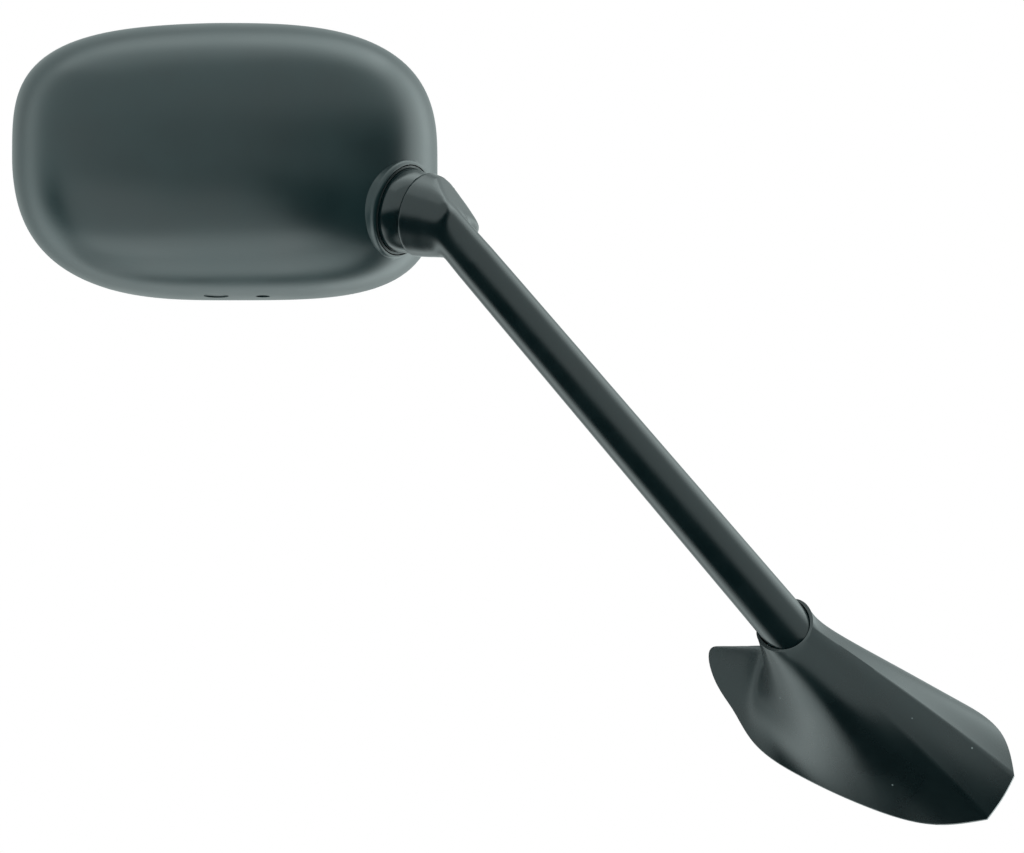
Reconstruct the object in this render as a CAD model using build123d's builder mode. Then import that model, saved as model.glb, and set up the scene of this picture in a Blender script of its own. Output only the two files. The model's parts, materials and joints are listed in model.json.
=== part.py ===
# Fairing-mounted motorcycle mirror: foot with rubber boot, cast arm, ball neck and mirror head.
# Frame: origin at the centre of the two studs on the mounting face, +X across, +Y rearward, +Z up.
import os
from math import atan2, cos, pi, radians, sin

from build123d import *

os.makedirs("parts", exist_ok=True)

# Mounting face on the fairing, degrees
base_rise = 30.0
base_sweep = 20.0
boot_yaw = 28.0

# Foot: where the arm's axis stands over the mounting face
foot_along = 3.3
foot_across = -1.5
foot_height = 18.9
arm_rise = 32.15
arm_heading = 14.5
arm_length = 233.54
arm_foot_radius = 9.25
arm_top_radius = 7.7

# Elbow and neck
neck_sweep = 33.0
neck_rise = 13.3
neck_reach = 19.31
neck_offset = 6.0
elbow_radius = 15.7
elbow_length = 18.5
elbow_taper = 9.0
elbow_face_gap = 7.1
hood_turn = 15.0
hood_lean = 3.7
hood_distance = 7.6
hood_radius = 1.5
arm_crown = 2.0

# Ball joint
ball_radius = 15.6
ball_flat = 12.0
liner_thickness = 0.8
seat_gap = 0.2
cup_wall = 2.4
socket_lip = 1.0
ring_radius = 20.0
ring_depth = 13.0
ring_flare = 5.0
ring_edge_radius = 1.6
stud_slot_radius = 8.4
pivot_stud_radius = 3.0
stud_engagement = 10.0
cap_thickness = 1.6
cap_half_angle = 42.0
cap_pad_radius = 7.5
cap_pad_height = 0.7
pivot_spring_radius = 7.0
pivot_spring_thickness = 0.9
pivot_spring_dish = 0.5
pivot_spring_count = 3
pivot_washer_radius = 7.2
pivot_washer_thickness = 1.2
pivot_nut_flats = 10.0
pivot_nut_height = 5.2
stud_tail = 1.3

# Mirror head: outline, depth and walls
head_width = 159.0
head_height = 103.0
head_depth = 56.0
ball_inboard = 10.5
ball_above_edge = 31.3
rim_behind_ball = 34.5
depth_squareness = 3.0
apex_left = 6.0
apex_up = 4.0
head_wall = 2.7
outline_steps = 24
corner_squareness = {"top_left": 3.5, "top_right": 2.9, "bottom_right": 3.45, "bottom_left": 2.65}
head_shares = (1.0, 0.985, 0.94, 0.86, 0.74, 0.58, 0.4, 0.24, 0.12)

# Glass and its seat
glass_radius = 1200.0
glass_rise = 1.0
glass_thickness = 2.0
glass_fit = 0.3
lip_thickness = 1.5
lip_width = 2.0
seal_thickness = 1.4
seal_width = 3.5
ledge_thickness = 2.0
ledge_width = 4.5
skirt = 8.0

# Rubber boot
boot_height = 51.6
collar_tilt = 17.5
boot_levels = (3.2, 5.5, 9.0, 14.0, 22.0, 32.0, 40.0)
boot_lip = 1.6
boot_wall = 2.2
boot_ceiling = 2.0
boot_clearance = 0.4
collar_width = 1.2
collar_back = 10.5

# Foot casting, bush and swivel
gasket_thickness = 2.0
plate_thickness = 4.5
plate_length = 72.0
plate_width = 22.0
pad_margin = 1.5
barrel_radius = 6.0
barrel_low = 14.0
barrel_headroom = 19.6
web_thickness = 7.0
web_foot_low = 12.0
web_foot_high = 38.0
bush_wall = 0.8
bush_flange = 1.2
bush_flange_radius = 5.4
spigot_radius = 3.7
running_gap = 0.05
shoulder_gap = 0.1
spring_seat_thickness = 1.2
swivel_spring_radius = 5.8
swivel_spring_thickness = 1.0
swivel_spring_dish = 0.6
swivel_spring_count = 4
swivel_washer_radius = 6.0
swivel_washer_thickness = 1.4
swivel_nut_flats = 10.0
swivel_nut_height = 5.0
thread_radius = 3.0
arm_tail = 1.2

# Two studs into the fairing stay
stud_circle = 44.0
mount_stud_radius = 3.0
stud_shank_radius = 3.4
mount_stud_length = 18.0
gasket_hole_gap = 0.2

# Working frames, from the driving sizes
base_normal = Vector(
    -cos(radians(base_rise)) * sin(radians(base_sweep)),
    -cos(radians(base_rise)) * cos(radians(base_sweep)),
    sin(radians(base_rise)),
)
level_dir = Vector(0, 0, 1).cross(base_normal).normalized()
uphill_dir = base_normal.cross(level_dir)
boot_dir = level_dir * cos(radians(boot_yaw)) - uphill_dir * sin(radians(boot_yaw))
base_plane = Plane(origin=(0, 0, 0), x_dir=boot_dir, z_dir=base_normal)

heading_dir = base_plane.y_dir * sin(radians(arm_heading)) - base_plane.x_dir * cos(radians(arm_heading))
arm_dir = heading_dir * cos(radians(arm_rise)) + base_normal * sin(radians(arm_rise))
foot_shadow = base_plane.from_local_coords(Vector(foot_along, foot_across, 0))
foot_point = foot_shadow + base_normal * foot_height
arm_plane = Plane(origin=foot_point, x_dir=heading_dir.cross(base_normal), z_dir=arm_dir)

neck_dir = Vector(
    -cos(radians(neck_rise)) * cos(radians(neck_sweep)),
    cos(radians(neck_rise)) * sin(radians(neck_sweep)),
    sin(radians(neck_rise)),
)
elbow_point = foot_point + arm_dir * arm_length
neck_side = neck_dir.cross(Vector(0, 0, 1)).normalized()
ball_point = elbow_point + neck_dir * neck_reach + neck_side * neck_offset
neck_plane = Plane(origin=ball_point, x_dir=(0, 0, 1), z_dir=-neck_dir)
head_left_of_ball = head_width / 2 - ball_inboard
head_above_ball = head_height / 2 - ball_above_edge
head_point = ball_point + Vector(-head_left_of_ball, rim_behind_ball, head_above_ball)
head_plane = Plane(origin=head_point, x_dir=(1, 0, 0), z_dir=(0, -1, 0))

# Fits that several pieces share
liner_inner = ball_radius + seat_gap
liner_outer = liner_inner + liner_thickness
cup_inner = liner_outer + seat_gap
cup_outer = cup_inner + cup_wall
cap_inner = cup_outer + seat_gap
cap_outer = cap_inner + cap_thickness
cap_seat = cap_outer + cap_pad_height
plate_top = gasket_thickness + plate_thickness
bush_bore = spigot_radius + running_gap
barrel_bore = bush_bore + bush_wall
barrel_high = boot_height - barrel_headroom
shoulder = barrel_high + bush_flange + shoulder_gap
glass_centre = head_plane.from_local_coords(Vector(0, 0, glass_radius - glass_rise))


def arm_radius(height):
    share = (height - shoulder) / (arm_length - shoulder)
    return arm_foot_radius + (arm_top_radius - arm_foot_radius) * share


def ring(plane, outer_radius, inner_radius, thickness):
    with BuildPart() as washer:
        with BuildSketch(plane):
            Circle(outer_radius)
            Circle(inner_radius, mode=Mode.SUBTRACT)
        extrude(amount=thickness)
    return washer


def hex_nut(plane, flats, bore_radius, height):
    with BuildPart() as nut:
        with BuildSketch(plane):
            RegularPolygon(radius=flats / 2, side_count=6, major_radius=False)
            Circle(bore_radius, mode=Mode.SUBTRACT)
        extrude(amount=height)
    return nut


def disc_springs(plane, outer_radius, inner_radius, thickness, dish, count):
    # Coned washers stacked in series, every second one turned over
    profile = Plane(origin=plane.origin, x_dir=plane.x_dir, z_dir=-plane.y_dir)
    with BuildPart() as stack:
        for index in range(count):
            low = index * (thickness + dish)
            inner_low = low + dish * (index % 2)
            outer_low = low + dish * (1 - index % 2)
            with BuildSketch(profile):
                with BuildLine():
                    Polyline(
                        (inner_radius, inner_low),
                        (outer_radius, outer_low),
                        (outer_radius, outer_low + thickness),
                        (inner_radius, inner_low + thickness),
                        close=True,
                    )
                make_face()
            revolve(axis=Axis(plane.origin, plane.z_dir))
    return stack


# Boot outline on the mounting face, counter-clockwise from the crease at the tip: along, across, flare and
# the turn round the collar that the point rises to. A flare of 1 runs straight, more sweeps in low down.
boot_tip = ((57.4, -7.0, 1.0, 12), (57.6, 2.5, 1.0, 26), (56.6, 11.6, 1.05, 40))
boot_side = (
    (44.6, 22.6, 1.3, 50),
    (22.0, 25.9, 1.4, 62),
    (-8.0, 21.5, 1.7, 80),
    (-32.0, 12.0, 4.6, 112),
    (-54.0, 3.6, 8.0, 150),
    (-69.0, -3.0, 8.0, 180),
    (-60.4, -12.6, 7.0, 202),
    (-47.5, -18.9, 4.0, 220),
    (-34.0, -25.4, 2.4, 238),
    (-10.0, -27.8, 1.5, 272),
    (20.0, -24.8, 1.2, 312),
    (44.0, -17.4, 1.0, 346),
)


def boot_share(height):
    return max(0.0, (height - boot_lip) / (boot_height - boot_lip))


def boot_plane(height, drop=0.0):
    tilt = radians(collar_tilt) * boot_share(height)
    return Plane(
        origin=base_normal * (height - drop),
        x_dir=boot_dir * cos(tilt) + base_normal * sin(tilt),
        z_dir=base_normal * cos(tilt) - boot_dir * sin(tilt),
    )


# The arm cuts the boot's tilted top in an ellipse, and the collar lies around that
collar_plane = boot_plane(boot_height)
collar_slope = arm_dir.dot(collar_plane.z_dir)
collar_reach = (collar_plane.origin - foot_point).dot(collar_plane.z_dir) / collar_slope
collar_centre = collar_plane.to_local_coords(foot_point + arm_dir * collar_reach)
collar_heading = atan2(-arm_dir.dot(collar_plane.y_dir), -arm_dir.dot(collar_plane.x_dir))
collar_half_width = arm_foot_radius + boot_clearance + collar_width
collar_half_length = (arm_foot_radius + boot_clearance) / collar_slope + collar_width


def collar_point(turn):
    reach = collar_half_length if cos(radians(turn)) > 0 else collar_back
    ahead = reach * cos(radians(turn))
    beside = collar_half_width * sin(radians(turn))
    return Vector(
        collar_centre.X + ahead * cos(collar_heading) - beside * sin(collar_heading),
        collar_centre.Y + ahead * sin(collar_heading) + beside * cos(collar_heading),
    )


def boot_points(height, inset):
    share = boot_share(height)
    points = []
    for along, across, flare, turn in boot_tip + boot_side:
        collar = collar_point(turn)
        points.append(collar + (Vector(along, across) - collar) * (1 - share) ** flare)
    moved = []
    for index, point in enumerate(points):
        along_rim = points[(index + 1) % len(points)] - points[index - 1]
        inward = Vector(-along_rim.Y, along_rim.X).normalized()
        moved.append(point + inward * inset)
    return moved


def boot_outline(height, inset, drop=0.0):
    points = boot_points(height, inset)
    tip_count = len(boot_tip)
    with BuildSketch(boot_plane(height, drop)) as outline:
        with BuildLine():
            Spline(*points[:tip_count])
            Spline(*points[tip_count - 1:], points[0])
        make_face()
    return outline.sketch.face()


def boot_form(heights, inset, drop):
    with BuildPart() as form:
        loft(sections=[boot_outline(height, inset, drop) for height in heights])
    return form


boot_outer = boot_form((0, boot_lip, *boot_levels, boot_height), 0, 0)
boot_inner = boot_form((boot_ceiling / 2, *boot_levels, boot_height), boot_wall, boot_ceiling)

with BuildPart() as boot:
    add(boot_outer.part)
    add(boot_inner.part, mode=Mode.SUBTRACT)
    with BuildSketch(arm_plane.offset(shoulder - boot_clearance)):
        Circle(arm_foot_radius + boot_clearance)
    extrude(amount=arm_length / 2, mode=Mode.SUBTRACT)
boot.part.label = "mirror_boot"
export_step(boot.part, "parts/mirror_boot.step")

# Foot casting: plate inside the boot, web and inclined barrel
axis_low = Vector(barrel_low * cos(radians(arm_rise)), foot_height + barrel_low * sin(radians(arm_rise)))
axis_high = Vector(barrel_high * cos(radians(arm_rise)), foot_height + barrel_high * sin(radians(arm_rise)))
barrel_under = Vector(barrel_radius * sin(radians(arm_rise)), -barrel_radius * cos(radians(arm_rise)))
web_plane = Plane(origin=foot_shadow, x_dir=heading_dir, z_dir=heading_dir.cross(base_normal))

with BuildPart() as bracket:
    with BuildSketch(base_plane.offset(gasket_thickness)):
        SlotOverall(plate_length, plate_width)
    extrude(amount=plate_thickness)
    with BuildSketch(web_plane):
        with BuildLine():
            Polyline(
                (web_foot_low, plate_top - 1),
                (web_foot_high, plate_top - 1),
                (axis_high.X, axis_high.Y),
                (axis_low.X, axis_low.Y),
                (axis_low.X + barrel_under.X, axis_low.Y + barrel_under.Y),
                close=True,
            )
        make_face()
    extrude(amount=web_thickness / 2, both=True)
    with BuildSketch(arm_plane.offset(barrel_low)):
        Circle(barrel_radius)
    extrude(amount=barrel_high - barrel_low)
    with BuildSketch(arm_plane.offset(barrel_low)):
        Circle(barrel_bore)
    extrude(amount=barrel_high - barrel_low, mode=Mode.SUBTRACT)
    with BuildSketch(base_plane):
        with PolarLocations(stud_circle / 2, 2):
            Circle(stud_shank_radius)
    extrude(amount=plate_top, mode=Mode.SUBTRACT)
bracket.part.label = "base_bracket"
export_step(bracket.part, "parts/base_bracket.step")

with BuildPart() as gasket:
    with BuildSketch(base_plane):
        SlotOverall(plate_length + 2 * pad_margin, plate_width + 2 * pad_margin)
    extrude(amount=gasket_thickness)
    with BuildSketch(base_plane):
        with PolarLocations(stud_circle / 2, 2):
            Circle(stud_shank_radius + gasket_hole_gap)
    extrude(amount=gasket_thickness, mode=Mode.SUBTRACT)
gasket.part.label = "base_gasket"
export_step(gasket.part, "parts/base_gasket.step")

with BuildPart() as studs:
    with BuildSketch(base_plane.offset(-mount_stud_length)):
        with PolarLocations(stud_circle / 2, 2):
            Circle(mount_stud_radius)
    extrude(amount=mount_stud_length)
    chamfer(studs.faces().sort_by(Axis(foot_shadow, base_normal))[:2].edges(), length=0.8)
    with BuildSketch(base_plane):
        with PolarLocations(stud_circle / 2, 2):
            Circle(stud_shank_radius)
    extrude(amount=plate_top)
studs.part.label = "mount_studs"
export_step(studs.part, "parts/mount_studs.step")

# Swivel: flanged bush in the barrel, spring under it, washer and nut on the arm's spigot
with BuildPart() as bush:
    with BuildSketch(arm_plane.offset(barrel_low)):
        Circle(barrel_bore)
    extrude(amount=barrel_high - barrel_low)
    with BuildSketch(arm_plane.offset(barrel_high)):
        Circle(bush_flange_radius)
    extrude(amount=bush_flange)
    with BuildSketch(arm_plane.offset(barrel_low)):
        Circle(bush_bore)
    extrude(amount=shoulder - barrel_low, mode=Mode.SUBTRACT)
bush.part.label = "swivel_bush"
export_step(bush.part, "parts/swivel_bush.step")

seat_low = barrel_low - spring_seat_thickness
spring_low = seat_low - swivel_spring_count * (swivel_spring_thickness + swivel_spring_dish)
washer_low = spring_low - swivel_washer_thickness
nut_low = washer_low - swivel_nut_height

spring_seat = ring(arm_plane.offset(seat_low), swivel_washer_radius, bush_bore, spring_seat_thickness)
spring_seat.part.label = "spring_seat"
export_step(spring_seat.part, "parts/spring_seat.step")

swivel_springs = disc_springs(
    arm_plane.offset(spring_low),
    swivel_spring_radius,
    bush_bore,
    swivel_spring_thickness,
    swivel_spring_dish,
    swivel_spring_count,
)
swivel_springs.part.label = "swivel_springs"
export_step(swivel_springs.part, "parts/swivel_springs.step")

swivel_washer = ring(
    arm_plane.offset(washer_low), swivel_washer_radius, thread_radius + running_gap, swivel_washer_thickness
)
swivel_washer.part.label = "swivel_washer"
export_step(swivel_washer.part, "parts/swivel_washer.step")

swivel_nut = hex_nut(arm_plane.offset(nut_low), swivel_nut_flats, thread_radius, swivel_nut_height)
swivel_nut.part.label = "swivel_nut"
export_step(swivel_nut.part, "parts/swivel_nut.step")

# Arm casting: mitred elbow, tapered arm, shoulder and spigot
arm_right = arm_dir.cross(Vector(0, -1, 0)).normalized()
arm_front = arm_right.cross(arm_dir)
hood_flank = arm_right * cos(radians(hood_turn)) + arm_front * sin(radians(hood_turn))
hood_dir = hood_flank * cos(radians(hood_lean)) - arm_dir * sin(radians(hood_lean))
hood_plane = Plane(origin=elbow_point + hood_dir * hood_distance, z_dir=hood_dir)

with BuildPart() as arm:
    with BuildSketch(neck_plane.offset(elbow_face_gap)):
        Circle(elbow_radius)
    extrude(amount=elbow_length, taper=elbow_taper)
    split(bisect_by=hood_plane, keep=Keep.BOTTOM)
    hood_face = arm.faces().filter_by(GeomType.PLANE).sort_by(Axis(ball_point, hood_dir))[-1]
    fillet(hood_face.edges(), radius=hood_radius)
    with BuildSketch(arm_plane.offset(shoulder)):
        Circle(arm_foot_radius)
    with BuildSketch(arm_plane.offset(arm_length - arm_crown)):
        Circle(arm_radius(arm_length - arm_crown))
    loft()
    with Locations(arm_plane.offset(arm_length - arm_crown).origin):
        Sphere(arm_radius(arm_length - arm_crown))
    split(bisect_by=neck_plane.offset(elbow_face_gap), keep=Keep.TOP)
    with BuildSketch(arm_plane.offset(washer_low + swivel_washer_thickness)):
        Circle(spigot_radius)
    extrude(amount=shoulder - spring_low)
    with BuildSketch(arm_plane.offset(nut_low - arm_tail)):
        Circle(thread_radius)
    extrude(amount=spring_low - nut_low + arm_tail)
    with BuildSketch(neck_plane.offset(elbow_face_gap)):
        Circle(pivot_stud_radius)
    extrude(amount=stud_engagement, mode=Mode.SUBTRACT)
arm.part.label = "mirror_arm"
export_step(arm.part, "parts/mirror_arm.step")

# Neck: half ball against the elbow, stud through it, sprung cap inside the housing
with BuildPart() as ball:
    with Locations(ball_point):
        Sphere(ball_radius)
    split(bisect_by=neck_plane.offset(elbow_face_gap), keep=Keep.BOTTOM)
    split(bisect_by=neck_plane.offset(-ball_flat), keep=Keep.TOP)
    with BuildSketch(neck_plane.offset(-ball_flat)):
        Circle(pivot_stud_radius + running_gap)
    extrude(amount=ball_flat + elbow_face_gap, mode=Mode.SUBTRACT)
ball.part.label = "pivot_ball"
export_step(ball.part, "parts/pivot_ball.step")

with BuildPart() as liner:
    with Locations(ball_point):
        Sphere(liner_outer)
        Sphere(liner_inner, mode=Mode.SUBTRACT)
    split(bisect_by=neck_plane.offset(-socket_lip), keep=Keep.BOTTOM)
    with BuildSketch(neck_plane):
        Circle(stud_slot_radius)
    extrude(amount=-cup_outer, mode=Mode.SUBTRACT)
liner.part.label = "socket_liner"
export_step(liner.part, "parts/socket_liner.step")

with BuildPart() as cap:
    with Locations(ball_point):
        Sphere(cap_outer)
    with BuildSketch(neck_plane.offset(-cap_seat)):
        Circle(cap_pad_radius)
    extrude(amount=cap_thickness)
    with Locations(ball_point):
        Sphere(cap_inner, mode=Mode.SUBTRACT)
    split(bisect_by=neck_plane.offset(-cap_inner * cos(radians(cap_half_angle))), keep=Keep.BOTTOM)
    with BuildSketch(neck_plane):
        Circle(pivot_stud_radius + running_gap)
    extrude(amount=-cap_seat, mode=Mode.SUBTRACT)
cap.part.label = "pressure_cap"
export_step(cap.part, "parts/pressure_cap.step")

pivot_spring_end = cap_seat + pivot_spring_count * (pivot_spring_thickness + pivot_spring_dish)
pivot_washer_end = pivot_spring_end + pivot_washer_thickness
pivot_nut_end = pivot_washer_end + pivot_nut_height

pivot_springs = disc_springs(
    neck_plane.offset(-pivot_spring_end),
    pivot_spring_radius,
    pivot_stud_radius + running_gap,
    pivot_spring_thickness,
    pivot_spring_dish,
    pivot_spring_count,
)
pivot_springs.part.label = "pivot_springs"
export_step(pivot_springs.part, "parts/pivot_springs.step")

pivot_washer = ring(
    neck_plane.offset(-pivot_washer_end),
    pivot_washer_radius,
    pivot_stud_radius + running_gap,
    pivot_washer_thickness,
)
pivot_washer.part.label = "pivot_washer"
export_step(pivot_washer.part, "parts/pivot_washer.step")

pivot_nut = hex_nut(neck_plane.offset(-pivot_nut_end), pivot_nut_flats, pivot_stud_radius, pivot_nut_height)
pivot_nut.part.label = "pivot_nut"
export_step(pivot_nut.part, "parts/pivot_nut.step")

with BuildPart() as stud:
    with BuildSketch(neck_plane.offset(-pivot_nut_end - stud_tail)):
        Circle(pivot_stud_radius)
    extrude(amount=pivot_nut_end + stud_tail + elbow_face_gap + stud_engagement)
stud.part.label = "pivot_stud"
export_step(stud.part, "parts/pivot_stud.step")


# Mirror head: superelliptic outline drawn in towards the back
def head_points(share, inset):
    half_width = (head_width / 2 - inset) * share
    half_height = (head_height / 2 - inset) * share
    points = []
    for step in range(outline_steps):
        turn = 2 * pi * step / outline_steps
        across = cos(turn)
        upward = sin(turn)
        corner = ("top_" if upward > 0 else "bottom_") + ("right" if across > 0 else "left")
        square = corner_squareness[corner]
        size = (abs(across) ** square + abs(upward) ** square) ** (-1 / square)
        points.append(
            (
                half_width * size * across - apex_left * (1 - share),
                half_height * size * upward + apex_up * (1 - share),
            )
        )
    return points


def head_outline(depth, share, inset):
    with BuildSketch(head_plane.offset(depth)) as outline:
        with BuildLine():
            Spline(*head_points(share, inset), periodic=True)
        make_face()
    return outline.sketch.face()


def head_form(inset):
    sections = []
    for share in head_shares:
        depth = (head_depth - inset) * (1 - share ** depth_squareness) ** (1 / depth_squareness)
        sections.append(head_outline(depth, share, inset))
    with BuildPart() as form:
        loft(sections=sections)
        extrude(sections[0], amount=skirt, dir=(0, 1, 0))
    return form


def seat_ring(outer_inset, inner_inset, outer_radius, thickness):
    with BuildPart() as seat:
        extrude(head_outline(-skirt, 1, outer_inset), amount=2 * skirt, dir=(0, -1, 0))
        if inner_inset:
            opening = head_outline(-skirt, 1, inner_inset)
            extrude(opening, amount=2 * skirt, dir=(0, -1, 0), mode=Mode.SUBTRACT)
        with Locations(glass_centre):
            Sphere(outer_radius, mode=Mode.INTERSECT)
            Sphere(outer_radius - thickness, mode=Mode.SUBTRACT)
    return seat


glass_edge = head_wall + glass_fit
rim_radius = glass_radius + lip_thickness
seal_radius = glass_radius - glass_thickness
ledge_radius = seal_radius - seal_thickness

with BuildPart() as cavity:
    add(head_form(head_wall).part)
    with Locations(ball_point):
        Sphere(cup_outer, mode=Mode.SUBTRACT)

rim_lip = seat_ring(head_wall - glass_fit, head_wall + lip_width, rim_radius, lip_thickness)
ledge = seat_ring(head_wall - glass_fit, head_wall + ledge_width, ledge_radius, ledge_thickness)

with BuildPart() as socket_ring:
    with BuildSketch(Plane(origin=ball_point, x_dir=neck_plane.x_dir, z_dir=-neck_plane.y_dir)):
        with BuildLine():
            lip_line = Line((0, -socket_lip), (ring_radius - ring_edge_radius, -socket_lip))
            edge_end = (ring_radius, -socket_lip - ring_edge_radius)
            edge_arc = TangentArc(lip_line @ 1, edge_end, tangent=(1, 0))
            flare_arc = TangentArc(
                edge_arc @ 1, (ring_radius + ring_flare, -socket_lip - ring_depth), tangent=(0, -1)
            )
            Polyline(flare_arc @ 1, (0, -socket_lip - ring_depth), lip_line @ 0)
        make_face()
    revolve(axis=Axis(ball_point, neck_dir))

with BuildPart() as housing:
    add(head_form(0).part)
    with Locations(glass_centre):
        Sphere(rim_radius, mode=Mode.INTERSECT)
    add(socket_ring.part)
    add(cavity.part, mode=Mode.SUBTRACT)
    with Locations(ball_point):
        Sphere(cup_inner, mode=Mode.SUBTRACT)
    with BuildSketch(neck_plane):
        Circle(stud_slot_radius)
    extrude(amount=-cap_outer, mode=Mode.SUBTRACT)
    add(rim_lip.part)
    add(ledge.part)
housing.part.label = "mirror_housing"
export_step(housing.part, "parts/mirror_housing.step")

glass = seat_ring(glass_edge, 0, glass_radius, glass_thickness)
glass.part.label = "mirror_glass"
export_step(glass.part, "parts/mirror_glass.step")

seal = seat_ring(glass_edge, glass_edge + seal_width, seal_radius, seal_thickness)
seal.part.label = "glass_seal"
export_step(seal.part, "parts/glass_seal.step")
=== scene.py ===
import json
import math

import bpy
import numpy as np
from mathutils import Matrix, Vector


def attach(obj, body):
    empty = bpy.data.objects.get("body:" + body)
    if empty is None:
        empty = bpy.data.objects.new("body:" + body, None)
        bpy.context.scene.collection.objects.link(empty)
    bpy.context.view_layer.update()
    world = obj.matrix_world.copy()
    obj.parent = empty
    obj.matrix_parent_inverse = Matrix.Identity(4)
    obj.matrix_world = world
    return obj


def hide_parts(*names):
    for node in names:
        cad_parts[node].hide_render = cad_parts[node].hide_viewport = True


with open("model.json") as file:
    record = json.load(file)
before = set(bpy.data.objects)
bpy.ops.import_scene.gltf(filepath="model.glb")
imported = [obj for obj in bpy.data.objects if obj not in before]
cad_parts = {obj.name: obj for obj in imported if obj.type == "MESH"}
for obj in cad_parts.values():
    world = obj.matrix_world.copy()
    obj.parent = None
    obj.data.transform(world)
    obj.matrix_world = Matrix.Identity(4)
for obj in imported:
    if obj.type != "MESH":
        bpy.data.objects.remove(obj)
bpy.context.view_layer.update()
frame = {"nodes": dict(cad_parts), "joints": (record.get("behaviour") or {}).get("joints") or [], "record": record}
nodes = frame["nodes"]
joints = {joint["name"]: joint for joint in frame["joints"]}
print("frame loaded:", len(nodes), "nodes")

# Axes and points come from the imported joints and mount; pieces are modelled in mm
perMetre = 1000
weldDistance = 0.000002
# Where a rounded edge is half way round, from both its faces, as a share of its radius
halfRound = 0.3
baseNormal = -Vector(frame["record"]["mounts"][0]["axis"]).normalized()
footPoint = Vector(joints["arm_swivel"]["pos_m"]) * perMetre
armDir = Vector(joints["arm_swivel"]["axis"]).normalized()
ballPoint = Vector(joints["ball_twist"]["pos_m"]) * perMetre
neckDir = Vector(joints["ball_twist"]["axis"]).normalized()
upDir = Vector((0, 0, 1))


# Small tools
def activate(piece):
    bpy.ops.object.select_all(action="DESELECT")
    piece.select_set(True)
    bpy.context.view_layer.objects.active = piece


def editAll(piece, operator, **settings):
    # Runs a mesh operator on the whole piece
    activate(piece)
    bpy.ops.object.mode_set(mode="EDIT")
    bpy.ops.mesh.select_all(action="SELECT")
    operator(**settings)
    bpy.ops.object.mode_set(mode="OBJECT")


def applyModifier(piece, kind, **settings):
    activate(piece)
    modifier = piece.modifiers.new(kind.title(), kind)
    for key, value in settings.items():
        setattr(modifier, key, value)
    bpy.ops.object.modifier_apply(modifier=modifier.name)


def carve(piece, tool, operation):
    applyModifier(piece, "BOOLEAN", object=tool, operation=operation, solver="EXACT")
    bpy.data.objects.remove(tool, do_unlink=True)


def skinRows(name, rows, closed=False):
    # Rings of equal length joined by quads; open ends get a flat cap
    count = len(rows[0])
    points = [tuple(point) for row in rows for point in row]
    faces = []
    last = len(rows) if closed else len(rows) - 1
    for row in range(last):
        low = row * count
        high = (row + 1) % len(rows) * count
        for step in range(count):
            turn = (step + 1) % count
            faces.append((low + step, low + turn, high + turn, high + step))
    if not closed:
        faces.append(tuple(range(count))[::-1])
        faces.append(tuple(range((len(rows) - 1) * count, len(rows) * count)))
    mesh = bpy.data.meshes.new(name)
    mesh.from_pydata(points, [], faces)
    piece = bpy.data.objects.new(name, mesh)
    bpy.context.scene.collection.objects.link(piece)
    editAll(piece, bpy.ops.mesh.normals_make_consistent, inside=False)
    return piece


def latheRows(profile, origin, axis, count):
    # Profile is (radius, height along the axis)
    side = axis.orthogonal().normalized()
    cross = axis.cross(side)
    rows = []
    for radius, height in profile:
        ring = []
        for step in range(count):
            turn = 2 * math.pi * step / count
            ring.append(origin + axis * height + (side * math.cos(turn) + cross * math.sin(turn)) * radius)
        rows.append(ring)
    return rows


def arcPoints(centre, radius, first, last, steps):
    points = []
    for step in range(steps + 1):
        turn = math.radians(first + (last - first) * step / steps)
        points.append((centre[0] + radius * math.cos(turn), centre[1] + radius * math.sin(turn)))
    return points


def ballTool(radius, poleTurn=89.5, rows=64, columns=128):
    profile = arcPoints((0, 0), radius, -poleTurn, poleTurn, rows)
    return skinRows("ballTool", latheRows(profile, ballPoint, neckDir, columns))


def fade(value, start, run):
    # From 0 at the start to 1 after the run
    return min(1.0, max(0.0, (value - start) / run))


def finishPiece(piece, body, slotName, *replaced, angle=32):
    # From working millimetres to metres, then smooth, dressed and riding on its body
    piece.data.transform(Matrix.Scale(1 / perMetre, 4))
    editAll(piece, bpy.ops.mesh.remove_doubles, threshold=weldDistance)
    bpy.ops.object.shade_smooth_by_angle(angle=math.radians(angle))
    piece.data.materials.clear()
    piece.data.materials.append(looks[slotName])
    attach(piece, body)
    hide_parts(*replaced)
    print("piece", piece.name, len(piece.data.polygons), "faces")


# Materials
def hexColour(text):
    # Hex code in sRGB to a linear colour
    parts = [int(text[place:place + 2], 16) / 255 for place in (1, 3, 5)]
    return [part / 12.92 if part <= 0.04045 else ((part + 0.055) / 1.055) ** 2.4 for part in parts] + [1]


def addNode(tree, kind, settings=None, inputs=None):
    node = tree.nodes.new(kind)
    for key, value in (settings or {}).items():
        setattr(node, key, value)
    for key, value in (inputs or {}).items():
        if isinstance(value, bpy.types.NodeSocket):
            tree.links.new(value, node.inputs[key])
        else:
            node.inputs[key].default_value = value
    return node


def mapRange(tree, value, fromLow, fromHigh, toLow, toHigh, blend="LINEAR"):
    inputs = {"Value": value, "From Min": fromLow, "From Max": fromHigh, "To Min": toLow, "To Max": toHigh}
    return addNode(tree, "ShaderNodeMapRange", {"interpolation_type": blend}, inputs).outputs["Result"]


def startMaterial(name, inputs):
    material = bpy.data.materials.new(name)
    material.use_nodes = True
    tree = material.node_tree
    tree.nodes.clear()
    shader = addNode(tree, "ShaderNodeBsdfPrincipled", None, inputs)
    addNode(tree, "ShaderNodeOutputMaterial", None, {"Surface": shader.outputs["BSDF"]})
    place = addNode(tree, "ShaderNodeTexCoord").outputs["Object"]
    return material, tree, shader, place


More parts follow.
